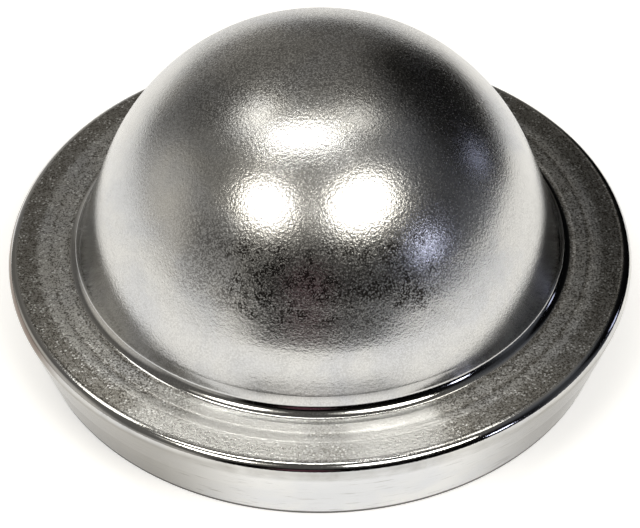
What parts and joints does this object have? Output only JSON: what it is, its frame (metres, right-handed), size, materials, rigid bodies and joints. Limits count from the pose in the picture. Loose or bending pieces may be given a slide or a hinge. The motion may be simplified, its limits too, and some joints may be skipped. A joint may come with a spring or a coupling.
{
  "type": "hub grease cap",
  "caption": "Drawn steel hub grease cap: round dome, flat flange and tapered press-in skirt, open below.",
  "frame": {"origin": "centre of the rim's plane, on the cap's axis", "axes": "+Z along the axis, from the rim towards the crown; the cap is round, so X and Y are free"},
  "size_m": [0.08, 0.08, 0.0414],
  "materials": {
    "plated_steel": "bright zinc-plated steel sheet, satin with a fine grain"
  },
  "bodies": {
    "root": {"cap_shell": "plated_steel"}
  },
  "joints": []
}
